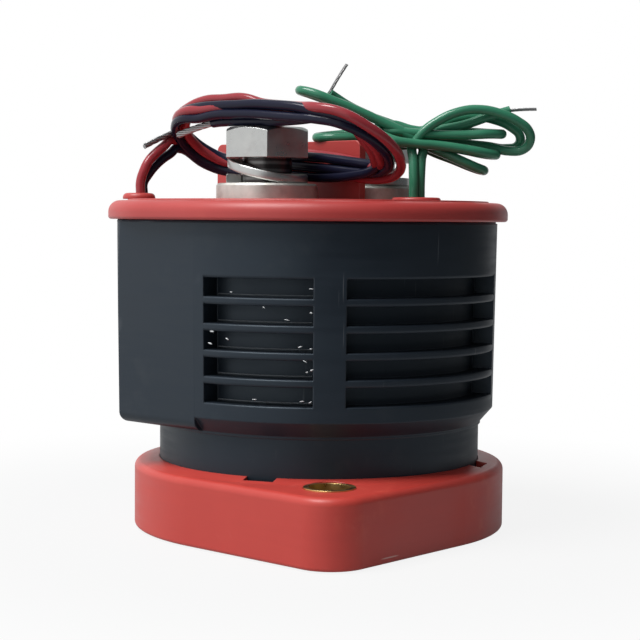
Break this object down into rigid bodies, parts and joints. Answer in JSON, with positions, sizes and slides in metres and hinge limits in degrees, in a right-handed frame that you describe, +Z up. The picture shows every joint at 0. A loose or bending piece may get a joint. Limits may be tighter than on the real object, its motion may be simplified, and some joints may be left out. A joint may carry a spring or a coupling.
{
  "type": "high voltage dc contactor",
  "caption": "Sealed round contactor on a square bolt-down base, with a ribbed housing, screw terminals parted by a barrier wall, and wound coil and auxiliary leads.",
  "frame": {"origin": "centre of the base's underside, on the axis of the round housing", "axes": "+Z up along the plunger's axis; the terminals lie on X; the mounting holes lie on the diagonal of the (-X,-Y) corner"},
  "size_m": [0.0624, 0.0624, 0.0771],
  "materials": {
    "red_plastic": "moulded, fine matt grain",
    "black_plastic": "moulded, satin, faintly speckled by its filler",
    "brass": "turned, dull",
    "nickel": "nickel plated, slightly warm",
    "steel": "turned or pressed",
    "nylon": "moulded",
    "copper": "copper",
    "board": "circuit board",
    "ceramic": "fired ceramic",
    "ferrite": "sintered",
    "lead_red": "extruded insulation",
    "lead_black": "extruded insulation",
    "lead_green": "extruded insulation",
    "tinned_wire": "twisted and tinned strands"
  },
  "bodies": {
    "contactor": {"mounting_base": "red_plastic", "top_cover": "red_plastic", "coil_lead_grommet": "red_plastic", "aux_lead_grommet": "red_plastic", "housing": "black_plastic", "mounting_bushes": "brass", "positive_terminal": "nickel", "negative_terminal": "nickel", "terminal_bolts": "nickel", "spring_washers": "nickel", "yoke_cup": "steel", "yoke_top_plate": "steel", "plunger_guide_cup": "steel", "fixed_core": "steel", "return_spring": "steel", "magnet_clip": "steel", "coil_bobbin": "nylon", "aux_switch": "nylon", "coil_winding": "copper", "coil_board": "board", "arc_chamber": "ceramic", "blowout_magnets": "ferrite", "red_lead": "lead_red", "lead_coil": "lead_red", "black_lead": "lead_black", "green_lead_a": "lead_green", "green_lead_b": "lead_green", "aux_lead_hank": "lead_green", "red_lead_tip": "tinned_wire", "black_lead_tip": "tinned_wire", "green_lead_a_tip": "tinned_wire", "green_lead_b_tip": "tinned_wire"},
    "armature": {"plunger": "steel", "drive_shaft": "steel", "spring_seat": "nylon", "contact_spring": "steel", "retaining_clip": "steel"},
    "moving_contact": {"contact_bridge": "copper"}
  },
  "joints": [
    {"name": "armature_slide", "type": "slide", "parent": "contactor", "child": "armature", "axis": [0, 0, 1], "range_m": [0, 0.0022], "stiffness_N_per_m": 900, "springref_m": -0.002, "deforming": ["return_spring"]},
    {"name": "contact_slide", "type": "slide", "parent": "armature", "child": "moving_contact", "axis": [0, 0, 1], "range_m": [-0.00072, 0], "deforming": ["contact_spring"]}
  ],
  "couplings": [
    {"joint": "contact_slide", "follows": "armature_slide", "ratio": -0.325}
  ]
}
